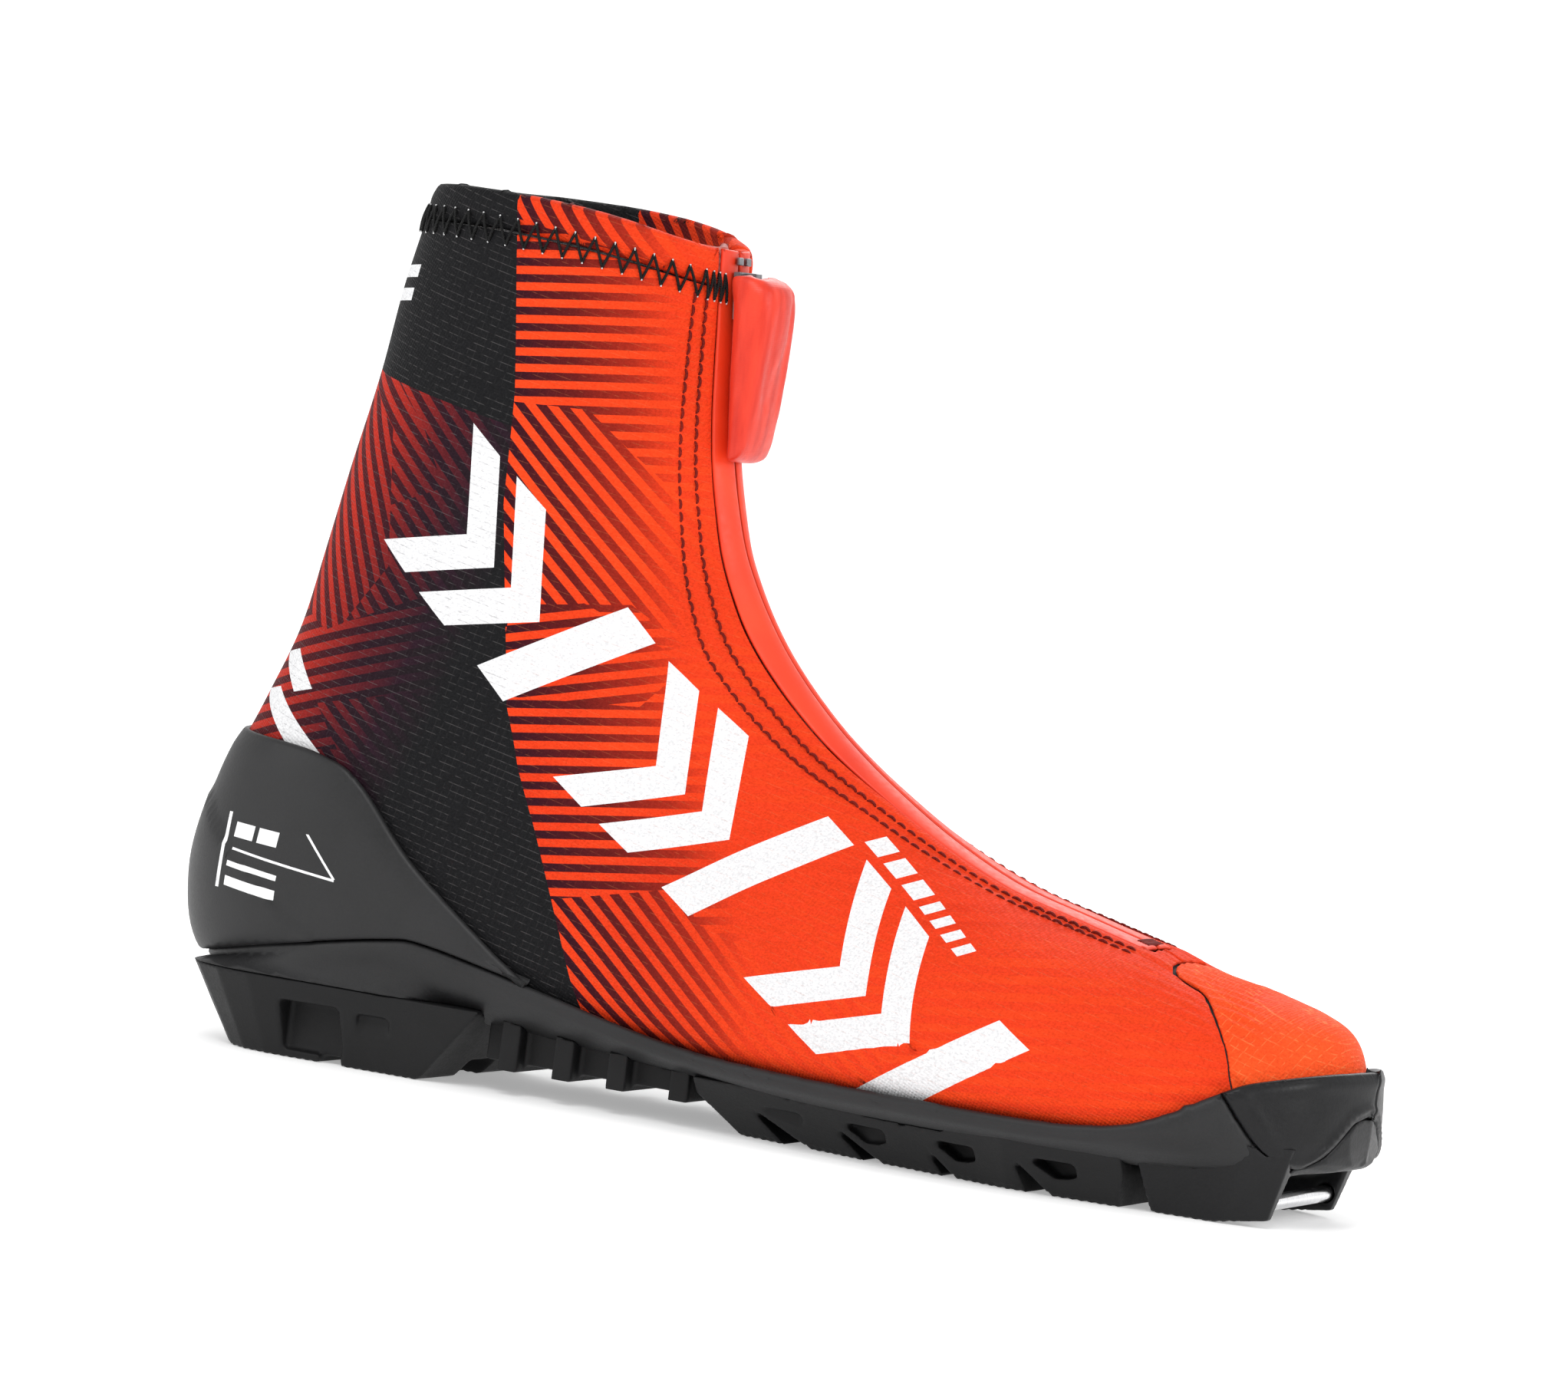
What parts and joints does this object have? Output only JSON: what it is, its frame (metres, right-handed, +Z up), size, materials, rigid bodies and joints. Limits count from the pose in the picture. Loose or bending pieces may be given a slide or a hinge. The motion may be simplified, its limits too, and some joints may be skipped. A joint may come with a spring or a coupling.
{
  "type": "cross country ski boot",
  "caption": "Ankle-high right ski boot with a zipped softshell upper, moulded heel counter and toe bumper, and a lugged outsole whose toe slot holds a steel bar for the binding.",
  "frame": {"origin": "on the ground under the middle of the boot's overall box", "axes": "+X to the toe, +Y to the inner (medial) side, +Z up"},
  "size_m": [0.2996, 0.0918, 0.2085],
  "materials": {
    "rubber": "matt",
    "moulding": "matt",
    "counter": "satin",
    "steel": "brushed",
    "zip_metal": "satin",
    "board": "matt",
    "footbed": "soft",
    "softshell": "woven",
    "pull_fabric": "satin",
    "thread": "stitched",
    "zip_tape": "coated",
    "zip_coil": "matt",
    "lining": "knitted",
    "stiffener": "matt",
    "foam": "foam"
  },
  "bodies": {
    "boot": {"outsole_frame": "rubber", "heel_tread": "rubber", "midfoot_bridge": "rubber", "forefoot_tread": "rubber", "toe_bumper": "moulding", "binding_block": "moulding", "heel_counter": "counter", "binding_bar": "steel", "zip_top_stop_lateral": "zip_metal", "zip_top_stop_medial": "zip_metal", "shank_plate": "board", "lasting_board": "board", "footbed": "footbed", "quarter_lateral": "softshell", "quarter_medial": "softshell", "toe_panel": "softshell", "collar_band": "softshell", "zip_bottom_stop": "thread", "collar_stitching": "thread", "zip_tape_lateral": "zip_tape", "zip_tape_medial": "zip_tape", "zip_coil_lateral": "zip_coil", "zip_coil_medial": "zip_coil", "tongue": "lining", "liner": "lining", "toe_puff": "stiffener", "heel_stiffener": "stiffener", "vamp_foam_lateral": "foam", "vamp_foam_medial": "foam", "ankle_pad_lateral": "foam", "ankle_pad_medial": "foam", "cuff_pad_lateral": "foam", "cuff_pad_medial": "foam"},
    "slider": {"zip_slider": "zip_metal"},
    "bail": {"zip_bail": "zip_metal"},
    "pull_tab": {"zip_pull_tab": "pull_fabric"}
  },
  "joints": [
    {"name": "zip_slide", "type": "slide", "parent": "boot", "child": "slider", "axis": [0.102, 0, -0.9948], "range_m": [0, 0.025]},
    {"name": "bail_swing", "type": "hinge", "parent": "slider", "child": "bail", "pos_m": [-0.02772, 0, 0.19395], "axis": [0, -1, 0], "range_deg": [0, 16]},
    {"name": "pull_lift", "type": "hinge", "parent": "bail", "child": "pull_tab", "pos_m": [-0.02772, 0, 0.19395], "axis": [0, -1, 0], "range_deg": [0, 75]}
  ],
  "couplings": [
    {"joint": "bail_swing", "follows": "zip_slide", "rad_per_m": 10.472}
  ]
}
